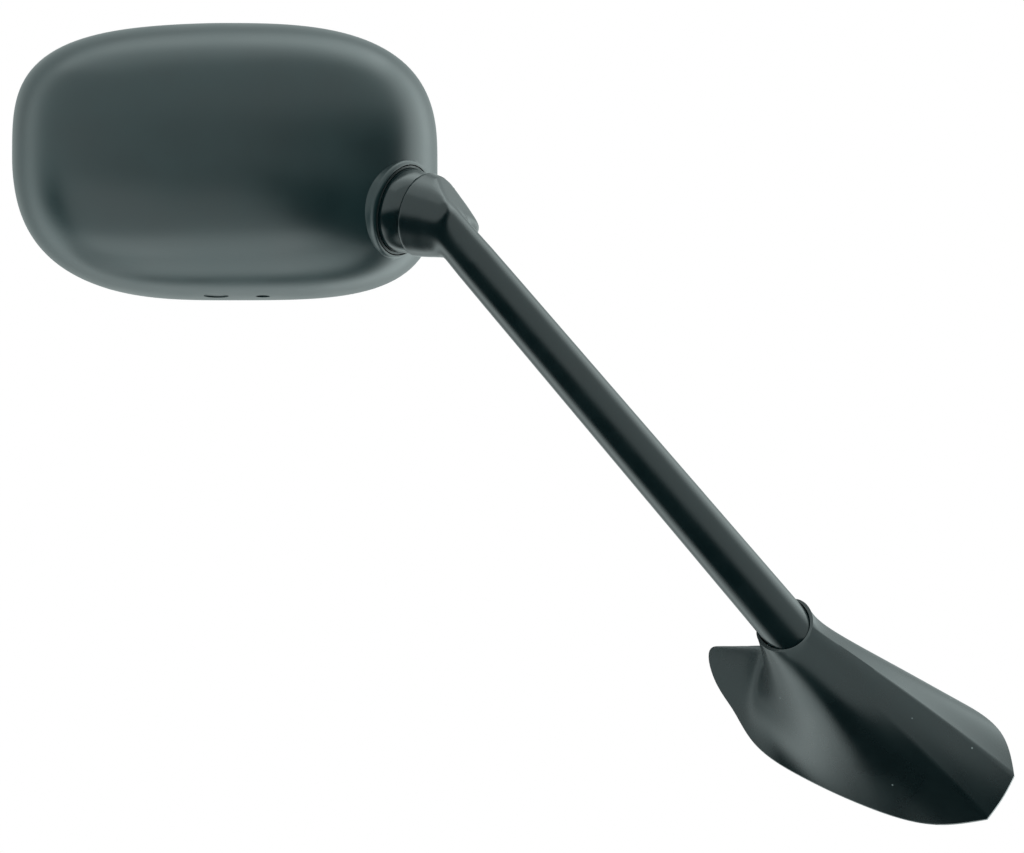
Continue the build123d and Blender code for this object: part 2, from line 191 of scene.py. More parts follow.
def noise(tree, place, size, detail):
    # Clouds of about this size in metres
    inputs = {"Vector": place, "Scale": 1 / size, "Detail": detail}
    return addNode(tree, "ShaderNodeTexNoise", None, inputs).outputs["Fac"]


def cells(tree, place, size):
    inputs = {"Vector": place, "Scale": 1 / size}
    return addNode(tree, "ShaderNodeTexVoronoi", None, inputs).outputs["Distance"]


def tinted(tree, factor, dark, light, low=0.0, high=1.0):
    tint = addNode(tree, "ShaderNodeValToRGB", None, {"Fac": factor})
    for element, position, text in zip(tint.color_ramp.elements, (low, high), (dark, light)):
        element.position = position
        element.color = hexColour(text)
    return tint.outputs["Color"]


def paint(tree, shader, colour):
    tree.links.new(colour, shader.inputs["Base Color"])


def roughen(tree, shader, factor, low, high, cloudLow=0.3, cloudHigh=0.7):
    tree.links.new(mapRange(tree, factor, cloudLow, cloudHigh, low, high), shader.inputs["Roughness"])


def emboss(tree, shader, height, strength, distance):
    inputs = {"Strength": strength, "Distance": distance, "Height": height}
    bump = addNode(tree, "ShaderNodeBump", None, inputs)
    tree.links.new(bump.outputs["Normal"], shader.inputs["Normal"])


def mouldedAbs():
    # Injection-moulded ABS with a fine spark-eroded grain: soft wide sheen, slightly cool black
    material, tree, shader, place = startMaterial("mouldedAbs", {"IOR": 1.54})
    cloud = noise(tree, place, size=0.022, detail=3.0)
    paint(tree, shader, tinted(tree, cloud, "#061a1c", "#092022", low=0.3, high=0.75))
    roughen(tree, shader, cloud, low=0.29, high=0.35)
    # Grain of about 0.2 mm, drawn at 0.7 mm so that it shows
    grain = noise(tree, place, size=0.0007, detail=2.0)
    emboss(tree, shader, grain, strength=0.18, distance=0.00004)
    return material


def satinPaint():
    # Black powder coat over die-cast alloy: satin, with a slight orange peel
    material, tree, shader, place = startMaterial("satinPaint", {"IOR": 1.5})
    cloud = noise(tree, place, size=0.012, detail=3.0)
    paint(tree, shader, tinted(tree, cloud, "#041214", "#071719", low=0.3, high=0.75))
    roughen(tree, shader, cloud, low=0.17, high=0.25)
    peel = noise(tree, place, size=0.0016, detail=1.0)
    emboss(tree, shader, peel, strength=0.15, distance=0.00005)
    return material


def mouldedRubber():
    # Compression-moulded EPDM: black with a low sheen, faint flow marks and a few dust specks
    material, tree, shader, place = startMaterial("mouldedRubber", {"IOR": 1.5})
    cloud = noise(tree, place, size=0.016, detail=4.0)
    tint = tinted(tree, cloud, "#041214", "#06181a", low=0.3, high=0.75)
    # Dust specks about 0.4 mm across, one in each 9 mm or so
    specks = cells(tree, place, size=0.009)
    dust = mapRange(tree, specks, fromLow=0.03, fromHigh=0.045, toLow=0.6, toHigh=0.0)
    mixInputs = {0: dust, 6: tint, 7: hexColour("#8a9494")}
    paint(tree, shader, addNode(tree, "ShaderNodeMix", {"data_type": "RGBA"}, mixInputs).outputs[2])
    roughen(tree, shader, cloud, low=0.24, high=0.32)
    skin = noise(tree, place, size=0.0011, detail=2.0)
    emboss(tree, shader, skin, strength=0.2, distance=0.00006)
    return material


def smoothNylon():
    # Polished nylon ball: nearly glossy, rubbed where the socket turns on it
    inputs = {"IOR": 1.53, "Base Color": hexColour("#051618")}
    material, tree, shader, place = startMaterial("smoothNylon", inputs)
    roughen(tree, shader, noise(tree, place, size=0.003, detail=3.0), low=0.14, high=0.24)
    return material


def plainNylon():
    # Dark nylon bushes and liners, satin from the mould
    inputs = {"IOR": 1.53, "Base Color": hexColour("#202728")}
    material, tree, shader, place = startMaterial("plainNylon", inputs)
    roughen(tree, shader, noise(tree, place, size=0.002, detail=2.0), low=0.4, high=0.55)
    return material


def padRubber():
    # Cellular rubber pad and glass seal: flat black with open pores about 0.5 mm wide
    inputs = {"Roughness": 0.82, "Base Color": hexColour("#141818")}
    material, tree, shader, place = startMaterial("padRubber", inputs)
    emboss(tree, shader, cells(tree, place, size=0.0007), strength=0.4, distance=0.0001)
    return material


def zincSteel():
    # Bright zinc plate on steel: pale blue-grey metal, slightly clouded
    material, tree, shader, place = startMaterial("zincSteel", {"Metallic": 1.0})
    cloud = noise(tree, place, size=0.004, detail=4.0)
    paint(tree, shader, tinted(tree, cloud, "#a3a8aa", "#c6cacb"))
    roughen(tree, shader, cloud, low=0.24, high=0.4)
    return material


def springSteel():
    # Phosphated spring steel: dark grey, oily and dull
    material, tree, shader, place = startMaterial("springSteel", {"Metallic": 1.0, "Roughness": 0.45})
    cloud = noise(tree, place, size=0.003, detail=3.0)
    paint(tree, shader, tinted(tree, cloud, "#3c3f40", "#5c6061"))
    return material


def silveredGlass():
    # First-surface look of a silvered mirror: clean and cool, with the least haze
    inputs = {"Metallic": 1.0, "Base Color": hexColour("#e6ebec")}
    material, tree, shader, place = startMaterial("silveredGlass", inputs)
    roughen(tree, shader, noise(tree, place, size=0.03, detail=2.0), low=0.01, high=0.03)
    return material


looks = {
    "housing_black": mouldedAbs(),
    "cast_black": satinPaint(),
    "boot_rubber": mouldedRubber(),
    "pad_rubber": padRubber(),
    "ball_nylon": smoothNylon(),
    "bush_nylon": plainNylon(),
    "zinc_steel": zincSteel(),
    "spring_steel": springSteel(),
    "mirror_glass": silveredGlass(),
}
for part in frame["record"]["subparts"]:
    node = nodes[part["node"]]
    node.data.materials.clear()
    node.data.materials.append(looks[part["material_slot"]])
    node.data.polygons.foreach_set("use_smooth", [True] * len(node.data.polygons))
print("materials assigned")

# Mirror head: one outline family for shell, glass and rim
head = {
    "width": 159.0,
    "height": 103.0,
    "depth": 56.0,
    "leftOfBall": 69.0,
    "aboveBall": 20.2,
    "rimBehindBall": 34.5,
    "squareness": 3.0,
    "apexLeft": 6.0,
    "apexUp": 4.0,
    "wall": 2.7,
    "corners": {"topLeft": 3.5, "topRight": 2.95, "bottomRight": 3.6, "bottomLeft": 2.95},
    "topFall": 0.07,
    "sideLean": 0.06,
    "easeStart": 0.2,
    "glassRadius": 1200.0,
    "glassRise": 1.0,
    "skirt": 8.0,
    "edge": 0.7,
    "columns": 192,
    "rows": 44,
    "firstTurn": 0.6,
    "turnRun": 88.4,
    "rowCrowding": 1.25,
}
headPoint = ballPoint + Vector((-head["leftOfBall"], head["rimBehindBall"], head["aboveBall"]))


def easeIn(part):
    return (1 + head["easeStart"]) * part ** 2 / (part + head["easeStart"])


def headRing(share, inset, placeY):
    # Superelliptic ring, each corner with its own squareness; placeY gives Y from the offsets
    ring = []
    for step in range(head["columns"]):
        turn = 2 * math.pi * step / head["columns"]
        across, upward = math.cos(turn), math.sin(turn)
        corner = ("top" if upward > 0 else "bottom") + ("Right" if across > 0 else "Left")
        square = head["corners"][corner]
        size = (abs(across) ** square + abs(upward) ** square) ** (-1 / square)
        # Towards the outer end the top edge falls, and low down that end leans in
        fall = head["topFall"] * easeIn(max(0.0, -size * across)) if upward > 0 else 0.0
        lean = head["sideLean"] * easeIn(max(0.0, -size * upward)) if across < 0 else 0.0
        x = (head["width"] / 2 - inset) * share * size * across * (1 - lean) - head["apexLeft"] * (1 - share)
        z = (head["height"] / 2 - inset) * share * size * upward * (1 - fall) + head["apexUp"] * (1 - share)
        ring.append(Vector((headPoint.x + x, placeY(x, z), headPoint.z + z)))
    return ring


def onGlassSphere(radius):
    centreY = headPoint.y - head["glassRadius"] + head["glassRise"]
    return lambda x, z: centreY + math.sqrt(radius ** 2 - x ** 2 - z ** 2)


def domeRows(inset):
    rows = []
    for row in range(head["rows"] + 1):
        crowded = (row / head["rows"]) ** head["rowCrowding"]
        turn = math.radians(head["firstTurn"] + head["turnRun"] * crowded)
        share = math.cos(turn) ** (2 / head["squareness"])
        depth = (head["depth"] - inset) * math.sin(turn) ** (2 / head["squareness"])
        rows.append(headRing(share, inset, lambda x, z: headPoint.y - depth))
    return rows


# Lip round the glass, on the sphere of the glass
lip = {"thickness": 1.5, "width": 2.0, "overlap": 1.2, "sink": 0.05, "edge": 0.5}
rimRadius = head["glassRadius"] + lip["thickness"]
edge = head["edge"]
rimRows = [
    headRing(1, edge, onGlassSphere(rimRadius)),
    headRing(1, edge * halfRound, onGlassSphere(rimRadius - edge * halfRound)),
    headRing(1, 0, onGlassSphere(rimRadius - edge)),
]
shell = skinRows("mirrorHousing", rimRows + domeRows(0))

# Socket ring round the ball, lathed on the neck's axis
socket = {
    "lip": 1.0,
    "radius": 18.5,
    "depth": 13.0,
    "flare": 5.0,
    "edge": 1.5,
    "edgeSteps": 8,
    "flareSteps": 20,
    "columns": 160,
    "cupInner": 17.0,
    "cupWall": 2.4,
    "slotRadius": 8.4,
    "slotStart": 10.0,
    "slotEnd": 24.0,
    "slotColumns": 64,
}
flareRun = socket["depth"] - socket["edge"]
flareBend = (flareRun ** 2 + socket["flare"] ** 2) / (2 * socket["flare"])
flareTurn = math.degrees(math.asin(flareRun / flareBend))
edgeHeight = -socket["lip"] - socket["edge"]
edgeCentre = (socket["radius"] - socket["edge"], edgeHeight)
flareCentre = (socket["radius"] + flareBend, edgeHeight)
ringProfile = arcPoints(edgeCentre, socket["edge"], 90, 0, socket["edgeSteps"])
ringProfile += arcPoints(flareCentre, flareBend, 180, 180 + flareTurn, socket["flareSteps"])[1:]
carve(shell, skinRows("socketRing", latheRows(ringProfile, ballPoint, -neckDir, socket["columns"])), "UNION")
cavityRows = [headRing(1, head["wall"], lambda x, z: headPoint.y + head["skirt"])] + domeRows(head["wall"])
cavity = skinRows("headCavity", cavityRows)
carve(cavity, ballTool(socket["cupInner"] + socket["cupWall"]), "DIFFERENCE")
carve(shell, cavity, "DIFFERENCE")
carve(shell, ballTool(socket["cupInner"]), "DIFFERENCE")
slotProfile = [(socket["slotRadius"], -socket["slotStart"]), (socket["slotRadius"], -socket["slotEnd"])]
slotRows = latheRows(slotProfile, ballPoint, -neckDir, socket["slotColumns"])
carve(shell, skinRows("studSlot", slotRows), "DIFFERENCE")

# Blank mould insert and drain hole in the underside, placed from the rim's centre
under = {
    "boreDir": Vector((0, 0.1, 0.995)).normalized(),
    "boreStart": -2.0,
    "columns": 48,
    "bores": {
        "mouldInsert": {"place": (-2.5, -18.8, -50.8), "radius": 4.6, "depth": 0.45},
        "drainHole": {"place": (14.8, -17.5, -50.9), "radius": 2.6, "depth": 8.0},
    },
}
for name, bore in under["bores"].items():
    profile = [(bore["radius"], under["boreStart"]), (bore["radius"], bore["depth"])]
    boreRows = latheRows(profile, headPoint + Vector(bore["place"]), under["boreDir"], under["columns"])
    carve(shell, skinRows(name, boreRows), "DIFFERENCE")

lipOuter = head["wall"] - lip["overlap"]
lipInner = head["wall"] + lip["width"]
lipRadius = rimRadius - lip["sink"]
lipRows = [
    headRing(1, lipOuter, onGlassSphere(head["glassRadius"])),
    headRing(1, lipOuter, onGlassSphere(lipRadius)),
    headRing(1, lipInner - lip["edge"], onGlassSphere(lipRadius)),
    headRing(1, lipInner - lip["edge"] * halfRound, onGlassSphere(lipRadius - lip["edge"] * halfRound)),
    headRing(1, lipInner, onGlassSphere(lipRadius - lip["edge"])),
    headRing(1, lipInner, onGlassSphere(head["glassRadius"])),
]
carve(shell, skinRows("rimLip", lipRows, closed=True), "UNION")
finishPiece(shell, "head", "housing_black", "mirror_housing")

# Mirror glass: convex, with a ground edge
glass = {
    "thickness": 2.0,
    "fit": 0.3,
    "edge": 0.4,
    "backEdge": 0.3,
    "shares": (0.04, 0.2, 0.36, 0.52, 0.68, 0.82, 0.92, 0.98),
}
glassInset = head["wall"] + glass["fit"]
frontRadius = head["glassRadius"]
backRadius = frontRadius - glass["thickness"]


def glassRing(share, inset, radius):
    ring = []
    for point in headRing(1, inset, lambda x, z: 0):
        x, z = (point.x - headPoint.x) * share, (point.z - headPoint.z) * share
        ring.append(Vector((headPoint.x + x, onGlassSphere(radius)(x, z), headPoint.z + z)))
    return ring


glassRows = [glassRing(share, glassInset, frontRadius) for share in glass["shares"]]
glassRows += [
    glassRing(1, glassInset + glass["edge"], frontRadius),
    glassRing(1, glassInset, frontRadius - glass["edge"]),
    glassRing(1, glassInset, backRadius + glass["backEdge"]),
    glassRing(1, glassInset + glass["backEdge"], backRadius),
]
glassRows += [glassRing(share, glassInset, backRadius) for share in reversed(glass["shares"])]
finishPiece(skinRows("mirrorGlass", glassRows), "head", "mirror_glass", "mirror_glass")

# Pivot ball: truncated sphere with the stud hole through it
ball = {"radius": 15.6, "flat": 12.0, "face": 7.1, "hole": 3.05, "rows": 48, "columns": 128}
faceTurn = math.degrees(math.asin(ball["face"] / ball["radius"]))
flatTurn = math.degrees(math.asin(ball["flat"] / ball["radius"]))
ballProfile = [(ball["hole"], -ball["flat"])]
ballProfile += arcPoints((0, 0), ball["radius"], -flatTurn, faceTurn, ball["rows"])
ballProfile += [(ball["hole"], ball["face"])]
ballRows = latheRows(ballProfile, ballPoint, -neckDir, ball["columns"])
finishPiece(skinRows("pivotBall", ballRows, closed=True), "ball", "ball_nylon", "pivot_ball")

# Arm: tapered tube, coned elbow cut off by its hood, spigot inside the boot
armLook = {
    "length": 233.54,
    "footRadius": 9.25,
    "topRadius": 7.7,
    "shoulder": 33.3,
    "crown": 2.0,
    "crownTurn": 88,
    "crownSteps": 14,
    "columns": 112,
    # rows: the shoulder's second, then wide ones in the middle and close ones below the crown
    "firstStep": 0.5,
    "wideStart": 50.0,
    "wideBelowTop": 45,
    "wideStep": 12.0,
    "closeBelowTop": 42,
    "closeStep": 1.0,
}
elbowLook = {
    "radius": 15.7,
    "length": 18.5,
    "taper": 9.0,
    "faceGap": 7.1,
    "rimEdge": 0.8,
    "rowStep": 0.8,
    "columns": 128,
    "hoodTurn": 15.0,
    "hoodLean": 3.7,
    "hoodDistance": 7.6,
    "hoodEdge": 3.2,
    "edgeSegments": 7,
    "edgeAngle": 38,
}
spigot = {"tipRadius": 3.0, "radius": 3.7, "start": -0.9, "step": 6.6, "overlap": 2, "columns": 48}
# Skin over the whole casting: where the hood is softened more, and where exact tapers come back
armSkin = {
    "voxel": 0.55,
    "softening": 12,
    "hoodSoftening": 90,
    "factor": 0.5,
    "hoodDepth": 5,
    "hoodDepthRun": 4,
    "hoodBelowTop": 20,
    "hoodRun": 8,
    "stemStart": 1.5,
    "stemReach": 1.2,
    "stemBelowTop": 22,
    "stemRun": 12,
    "neckStart": 1.2,
    "neckEnd": 10,
    "neckRun": 5,
    "neckReach": 0.2,
}


def armRadius(height):
    share = (height - armLook["shoulder"]) / (armLook["length"] - armLook["shoulder"])
    return armLook["footRadius"] + (armLook["topRadius"] - armLook["footRadius"]) * share


armRight = armDir.cross(Vector((0, -1, 0))).normalized()
armFront = armRight.cross(armDir)
hoodTurn, hoodLean = math.radians(elbowLook["hoodTurn"]), math.radians(elbowLook["hoodLean"])
hoodFlank = armRight * math.cos(hoodTurn) + armFront * math.sin(hoodTurn)
hoodDir = hoodFlank * math.cos(hoodLean) - armDir * math.sin(hoodLean)
hoodPoint = footPoint + armDir * armLook["length"] + hoodDir * elbowLook["hoodDistance"]
rimCentre = ballPoint - neckDir * elbowLook["faceGap"]
elbowDraft = math.tan(math.radians(elbowLook["taper"]))
rimRound = elbowLook["rimEdge"] * halfRound
elbowProfile = [
    (elbowLook["radius"] - elbowLook["rimEdge"], 0.0),
    (elbowLook["radius"] - rimRound, rimRound),
]
elbowProfile += [
    (elbowLook["radius"] - elbowDraft * height, height)
    for height in np.arange(elbowLook["rimEdge"], elbowLook["length"], elbowLook["rowStep"])
]
elbow = skinRows("elbow", latheRows(elbowProfile, rimCentre, -neckDir, elbowLook["columns"]))
editAll(elbow, bpy.ops.mesh.bisect, plane_co=hoodPoint, plane_no=hoodDir, use_fill=True, clear_outer=True)
applyModifier(
    elbow, "BEVEL", width=elbowLook["hoodEdge"], segments=elbowLook["edgeSegments"],
    limit_method="ANGLE", angle_limit=math.radians(elbowLook["edgeAngle"]),
)

armTop = armLook["length"]
crownHeight = armTop - armLook["crown"]
armHeights = [armLook["shoulder"], armLook["shoulder"] + armLook["firstStep"]]
armHeights += list(np.arange(armLook["wideStart"], armTop - armLook["wideBelowTop"], armLook["wideStep"]))
armHeights += list(np.arange(armTop - armLook["closeBelowTop"], crownHeight, armLook["closeStep"]))
armProfile = [(armRadius(height), height) for height in armHeights]
crownArc = arcPoints((0, 0), armRadius(crownHeight), 0, armLook["crownTurn"], armLook["crownSteps"])
armProfile += [(radius, crownHeight + rise) for radius, rise in crownArc]
armPiece = skinRows("mirrorArm", latheRows(armProfile, footPoint, armDir, armLook["columns"]))
carve(armPiece, elbow, "UNION")
spigotProfile = [
    (spigot["tipRadius"], spigot["start"]),
    (spigot["tipRadius"], spigot["step"]),
    (spigot["radius"], spigot["step"]),
    (spigot["radius"], armLook["shoulder"] + spigot["overlap"]),
]
spigotRows = latheRows(spigotProfile, footPoint, armDir, spigot["columns"])
carve(armPiece, skinRows("spigot", spigotRows), "UNION")
# One skin over the casting with soft fillets; stem and neck then go back to their exact tapers
applyModifier(armPiece, "REMESH", mode="VOXEL", voxel_size=armSkin["voxel"])
applyModifier(armPiece, "SMOOTH", factor=armSkin["factor"], iterations=armSkin["softening"])
hoodGroup = armPiece.vertex_groups.new(name="hood")
for vertex in armPiece.data.vertices:
    depth = -(vertex.co - rimCentre).dot(neckDir)
    height = (vertex.co - footPoint).dot(armDir)
    share = fade(depth, armSkin["hoodDepth"], armSkin["hoodDepthRun"])
    share *= fade(height - armTop, -armSkin["hoodBelowTop"], armSkin["hoodRun"])
    hoodGroup.add([vertex.index], share, "REPLACE")
applyModifier(
    armPiece, "SMOOTH", factor=armSkin["factor"], iterations=armSkin["hoodSoftening"], vertex_group="hood"
)
stemStart = armLook["shoulder"] + armSkin["stemStart"]
for vertex in armPiece.data.vertices:
    fromFoot = vertex.co - footPoint
    height = fromFoot.dot(armDir)
    radial = fromFoot - armDir * height
    if height > stemStart and abs(radial.length - armRadius(height)) < armSkin["stemReach"]:
        share = fade(armTop - armSkin["stemBelowTop"] - height, 0, armSkin["stemRun"])
        radial *= 1 + share * (armRadius(height) / radial.length - 1)
        vertex.co = footPoint + armDir * height + radial
    fromRim = vertex.co - rimCentre
    depth = -fromRim.dot(neckDir)
    spread = fromRim + neckDir * depth
    radius = elbowLook["radius"] - elbowDraft * depth
    onNeck = armSkin["neckStart"] < depth < armSkin["neckEnd"]
    if onNeck and abs(spread.length - radius) < armSkin["neckReach"]:
        share = fade(armSkin["neckEnd"] - depth, 0, armSkin["neckRun"])
        vertex.co += spread * share * (radius / spread.length - 1)
finishPiece(armPiece, "arm", "cast_black", "mirror_arm", angle=50)

# Rubber boot: sections sweep from the flat rim up to a collar that hugs the arm
boot = {
    "yaw": 28.0,
    "height": 51.6,
    "lip": 1.6,
    "tilt": 17.5,
    "wall": 2.2,
    "roof": 2.0,
    "clearance": 0.4,
    "collarWidth": 1.2,
    "collarBack": 10.5,
    "edge": 0.6,
    # along, across, flare and the turn round the collar
    "tip": ((57.4, -7.0, 1.0, 12), (57.6, 2.5, 1.0, 26), (56.6, 11.6, 1.05, 40)),
    "side": (
        (44.6, 22.6, 1.3, 50),
        (22.0, 25.9, 1.4, 62),
        (-8.0, 21.5, 1.7, 80),
        (-32.0, 8.4, 6.0, 112),
        (-54.0, 2.2, 16.0, 150),
        (-69.0, -3.0, 18.0, 180),
        (-60.4, -12.6, 14.0, 202),
        (-47.5, -18.9, 9.0, 220),
        (-34.0, -25.4, 4.5, 238),
        (-10.0, -27.8, 1.7, 272),
        (20.0, -24.8, 0.9, 312),
        (44.0, -17.4, 0.85, 346),
    ),
    "tipSteps": 14,
    "sideSteps": 170,
    "rows": 52,
    "rowCrowding": 1.5,
    "innerFirstRow": 4,
    "innerRowStep": 2,
    "holeTop": 110.0,
    "holeColumns": 128,
}
levelDir = upDir.cross(baseNormal).normalized()
uphillDir = baseNormal.cross(levelDir)
bootTurn = math.radians(boot["yaw"])
bootDir = levelDir * math.cos(bootTurn) - uphillDir * math.sin(bootTurn)
acrossDir = baseNormal.cross(bootDir)


def bootShare(height):
    return max(0.0, (height - boot["lip"]) / (boot["height"] - boot["lip"]))


def bootAxes(height, drop):
    tilt = math.radians(boot["tilt"]) * bootShare(height)
    along = bootDir * math.cos(tilt) + baseNormal * math.sin(tilt)
    normal = baseNormal * math.cos(tilt) - bootDir * math.sin(tilt)
    return baseNormal * (height - drop), along, normal


collarOrigin, collarAlong, collarNormal = bootAxes(boot["height"], 0)
collarSlope = armDir.dot(collarNormal)
collarReach = (collarOrigin - footPoint).dot(collarNormal) / collarSlope
collarCentre = footPoint + armDir * collarReach - collarOrigin
collarHeading = math.atan2(-armDir.dot(acrossDir), -armDir.dot(collarAlong))
holeRadius = armLook["footRadius"] + boot["clearance"]


def collarPoint(turn):
    swing = math.cos(math.radians(turn))
    reach = holeRadius / collarSlope + boot["collarWidth"] if swing > 0 else boot["collarBack"]
    ahead = reach * swing
    beside = (holeRadius + boot["collarWidth"]) * math.sin(math.radians(turn))
    return np.array((
        collarCentre.dot(collarAlong) + ahead * math.cos(collarHeading) - beside * math.sin(collarHeading),
        collarCentre.dot(acrossDir) + ahead * math.sin(collarHeading) + beside * math.cos(collarHeading),
    ))


def smoothCurve(points, steps):
    # Natural cubic spline through the points, evenly sampled, without its last point
    points = np.array(points)
    lengths = np.linalg.norm(np.diff(points, axis=0), axis=1)
    knots = np.concatenate(([0], np.cumsum(lengths)))
    count = len(points)
    matrix = np.eye(count)
    slopes = np.zeros_like(points)
    for index in range(1, count - 1):
        before, after = lengths[index - 1], lengths[index]
        matrix[index, index - 1:index + 2] = (before, 2 * (before + after), after)
        rise = (points[index + 1] - points[index]) / after - (points[index] - points[index - 1]) / before
        slopes[index] = 6 * rise
    bends = np.linalg.solve(matrix, slopes)
    curve = []
    for place in np.linspace(0, knots[-1], steps, endpoint=False):
        span = min(np.searchsorted(knots, place, side="right") - 1, count - 2)
        run = lengths[span]
        left, right = knots[span + 1] - place, place - knots[span]
        curve.append(
            (bends[span] * left ** 3 + bends[span + 1] * right ** 3) / (6 * run)
            + (points[span] / run - bends[span] * run / 6) * left
            + (points[span + 1] / run - bends[span + 1] * run / 6) * right
        )
    return curve


def bootRing(height, inset, drop):
    left = 1 - bootShare(height)
    points = []
    for along, across, flare, turn in boot["tip"] + boot["side"]:
        collar = collarPoint(turn)
        points.append(collar + (np.array((along, across)) - collar) * left ** flare)
    moved = []
    for index, point in enumerate(points):
        run = points[(index + 1) % len(points)] - points[index - 1]
        moved.append(point + np.array((-run[1], run[0])) / np.linalg.norm(run) * inset)
    tipCount = len(boot["tip"])
    flat = smoothCurve(moved[:tipCount], boot["tipSteps"])
    flat += smoothCurve(moved[tipCount - 1:] + moved[:1], boot["sideSteps"])
    origin, alongDir = bootAxes(height, drop)[:2]
    return [origin + alongDir * place[0] + acrossDir * place[1] for place in flat]


bootHeights = [
    boot["lip"] + (boot["height"] - boot["lip"]) * (row / boot["rows"]) ** boot["rowCrowding"]
    for row in range(boot["rows"] + 1)
]
bootRound = boot["edge"] * halfRound
bootRows = [bootRing(0, boot["edge"], 0), bootRing(bootRound, bootRound, 0), bootRing(boot["edge"], 0, 0)]
bootRows += [bootRing(height, 0, 0) for height in bootHeights]
bootPiece = skinRows("mirrorBoot", bootRows)
innerHeights = [boot["roof"] / 2] + bootHeights[boot["innerFirstRow"]::boot["innerRowStep"]]
innerRows = [bootRing(height, boot["wall"], boot["roof"]) for height in innerHeights]
carve(bootPiece, skinRows("bootHollow", innerRows), "DIFFERENCE")
holeProfile = [(holeRadius, armLook["shoulder"] - boot["clearance"]), (holeRadius, boot["holeTop"])]
holeRows = latheRows(holeProfile, footPoint, armDir, boot["holeColumns"])
carve(bootPiece, skinRows("armHole", holeRows), "DIFFERENCE")
finishPiece(bootPiece, "base", "boot_rubber", "mirror_boot")

# Mount studs: rolled M6 thread below the mounting face, plain shank through gasket and plate
stud = {
    "circle": 44.0,
    "radius": 3.0,
    "shank": 3.4,
    "length": 18.0,
    "top": 6.5,
    "topEdge": 0.3,
    "pitch": 1.0,
    "depth": 0.58,
    "flank": 1.2,
    "runout": 1.5,
    "chamfer": 0.8,
    "columns": 48,
    "steps": 10,
}


def threadRadius(height, turn):
    crest = min(1.0, stud["flank"] * abs(2 * ((height / stud["pitch"] - turn) % 1) - 1))
    radius = stud["radius"] - stud["depth"] * (1 - crest) * min(1.0, -height / stud["runout"])
    return min(radius, stud["radius"] - stud["chamfer"] + height + stud["length"])


def studRing(height, radiusAt):
    ring = []
    for step in range(stud["columns"]):
        turn = step / stud["columns"]
        spoke = bootDir * math.cos(2 * math.pi * turn) + acrossDir * math.sin(2 * math.pi * turn)
        ring.append(bootDir * stud["circle"] / 2 + baseNormal * height + spoke * radiusAt(height, turn))
    return ring


threadRows = int(stud["length"] / stud["pitch"] * stud["steps"])
threadHeights = [-stud["length"] + row * stud["pitch"] / stud["steps"] for row in range(threadRows)]
studRows = [studRing(height, threadRadius) for height in threadHeights]
shankProfile = [
    (stud["radius"], 0.0),
    (stud["shank"], 0.0),
    (stud["shank"], stud["top"] - stud["topEdge"]),
    (stud["shank"] - stud["topEdge"], stud["top"]),
]
for shankRadius, shankHeight in shankProfile:
    studRows.append(studRing(shankHeight, lambda height, turn: shankRadius))
studPiece = skinRows("mountStuds", studRows)
activate(studPiece)
bpy.ops.object.duplicate()
secondStud = bpy.context.object
secondStud.data.transform(Matrix.Translation(-bootDir * stud["circle"]))
studPiece.select_set(True)
bpy.context.view_layer.objects.active = studPiece
bpy.ops.object.join()
finishPiece(studPiece, "base", "zinc_steel", "mount_studs", angle=40)

# Floor, light and camera
floorLook = {"size": 4.0, "place": (-0.15, 0, -0.45), "paint": "#f4f5f5", "roughness": 0.6}
bpy.ops.object.select_all(action="DESELECT")
bpy.ops.mesh.primitive_plane_add(size=floorLook["size"], location=floorLook["place"])
floor = bpy.context.object
floor.name = "paleFloor"
floorInputs = {"Roughness": floorLook["roughness"], "Base Color": hexColour(floorLook["paint"])}
floor.data.materials.append(startMaterial("palePaint", floorInputs)[0])
floor.visible_glossy = False

# The two cards light only the housing, as bounce cards close to it would
lampColour = (0.88, 1.0, 0.99)
lights = {
    "topSoftbox": {
        "place": (-0.2, 0.1, 1.2),
        "aim": (-0.15, 0.0, 0.1),
        "size": (1.8, 1.0),
        "power": 4.0,
        "card": False,
    },
    "headCard": {
        "place": (-0.66, -0.72, -0.45),
        "aim": (-0.25, 0.0, 0.19),
        "size": (1.3, 1.4),
        "power": 8.6,
        "card": True,
    },
    "underCard": {
        "place": (-0.3, -0.14, -0.44),
        "aim": (-0.25, -0.06, 0.19),
        "size": (1.1, 0.75),
        "power": 3.6,
        "card": True,
    },
}
headLit = bpy.data.collections.new("headLit")
headLit.objects.link(bpy.data.objects["mirrorHousing"])
for name, look in lights.items():
    lamp = bpy.data.lights.new(name, "AREA")
    lamp.shape = "RECTANGLE"
    lamp.size, lamp.size_y = look["size"]
    lamp.energy = look["power"]
    lamp.color = lampColour
    lampObject = bpy.data.objects.new(name, lamp)
    bpy.context.scene.collection.objects.link(lampObject)
    lampObject.location = look["place"]
    lampObject.visible_camera = False
    if look["card"]:
        lampObject.light_linking.receiver_collection = headLit
    aim = Vector(look["aim"]) - Vector(look["place"])
    lampObject.rotation_euler = aim.to_track_quat("-Z", "Y").to_euler()

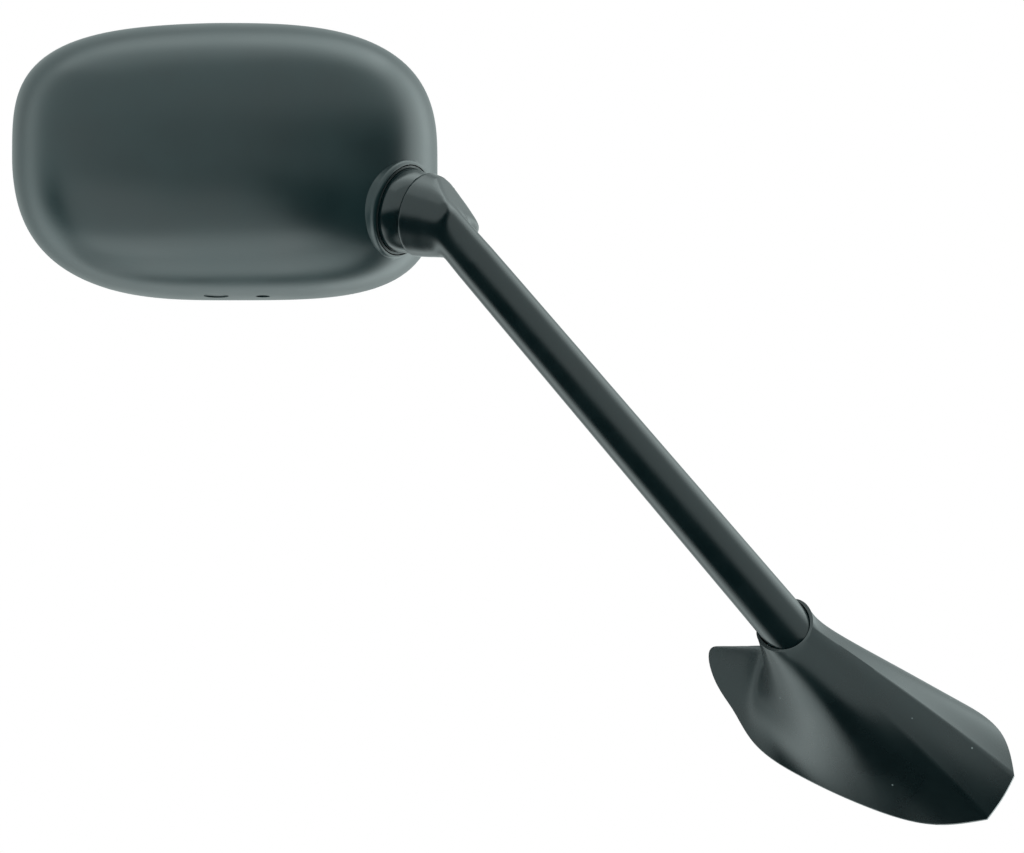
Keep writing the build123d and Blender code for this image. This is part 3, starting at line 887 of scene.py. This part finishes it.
# Studio walls by direction, for light and reflections only: the camera itself sees plain white.
# On the camera's side they are dark below a slanting horizon and light above it. Beyond the part they are
# bright at the sides, dimmer straight behind and to the left, and dark low down, with a pale table below.
walls = {
    "colour": (0.87, 1.0, 0.99, 1),
    "horizonSlant": -0.2,
    "horizon": {"fromLow": -0.02, "fromHigh": 0.18, "toLow": 0.03, "toHigh": 1.2},
    "sides": {"fromLow": -0.25, "fromHigh": 0.25, "toLow": 0.0, "toHigh": 1.0},
    "dimLeft": -0.36,
    "dimUp": 0.3,
    "dim": {"fromLow": 0.4, "fromHigh": 0.85, "toLow": 2.7, "toHigh": 0.7},
    "low": {"fromLow": -0.8, "fromHigh": -0.62, "toLow": 0.15},
    "table": {"fromLow": -0.97, "fromHigh": -0.88, "toLow": 1.3, "toHigh": 0.0},
}
world = bpy.data.worlds.new("studio")
bpy.context.scene.world = world
world.use_nodes = True
worldTree = world.node_tree
worldTree.nodes.clear()


def mathNode(operation, *values):
    inputs = dict(enumerate(values))
    return addNode(worldTree, "ShaderNodeMath", {"operation": operation}, inputs).outputs["Value"]


worldPlace = addNode(worldTree, "ShaderNodeTexCoord").outputs["Generated"]
direction = addNode(worldTree, "ShaderNodeSeparateXYZ", None, {"Vector": worldPlace})
towardX, towardY, towardZ = (direction.outputs[axis] for axis in ("X", "Y", "Z"))
slant = mathNode("MULTIPLY_ADD", towardX, walls["horizonSlant"], towardZ)
front = mapRange(worldTree, slant, **walls["horizon"])
side = mapRange(worldTree, towardY, **walls["sides"], blend="SMOOTHSTEP")
behind = mathNode("MULTIPLY_ADD", towardX, walls["dimLeft"], towardY)
behindUp = mathNode("MULTIPLY_ADD", towardZ, walls["dimUp"], behind)
farWall = mapRange(worldTree, behindUp, **walls["dim"], blend="SMOOTHSTEP")
rear = mapRange(worldTree, towardZ, **walls["low"], toHigh=farWall)
roomInputs = {0: side, 2: front, 3: rear}
room = addNode(worldTree, "ShaderNodeMix", {"data_type": "FLOAT"}, roomInputs).outputs["Result"]
table = mapRange(worldTree, towardZ, **walls["table"])
level = mathNode("MAXIMUM", room, table)
studioInputs = {"Color": walls["colour"], "Strength": level}
studio = addNode(worldTree, "ShaderNodeBackground", None, studioInputs).outputs["Background"]
backdropInputs = {"Color": (1, 1, 1, 1), "Strength": 1.0}
backdrop = addNode(worldTree, "ShaderNodeBackground", None, backdropInputs).outputs["Background"]
seen = addNode(worldTree, "ShaderNodeLightPath").outputs["Is Camera Ray"]
mixed = addNode(worldTree, "ShaderNodeMixShader", None, {0: seen, 1: studio, 2: backdrop})
addNode(worldTree, "ShaderNodeOutputWorld", None, {"Surface": mixed.outputs["Shader"]})
bpy.context.scene.view_settings.view_transform = "Standard"

cameraLook = {"place": (-0.1287, -1.0, 0.110), "lens": 96.68, "sensor": 36.0, "near": 0.01}
cameraData = bpy.data.cameras.new("photoCamera")
cameraData.lens = cameraLook["lens"]
cameraData.sensor_width = cameraLook["sensor"]
cameraData.clip_start = cameraLook["near"]
camera = bpy.data.objects.new("photoCamera", cameraData)
bpy.context.scene.collection.objects.link(camera)
camera.location = cameraLook["place"]
camera.rotation_euler = (math.pi / 2, 0, 0)
bpy.context.scene.camera = camera
print("stage set")
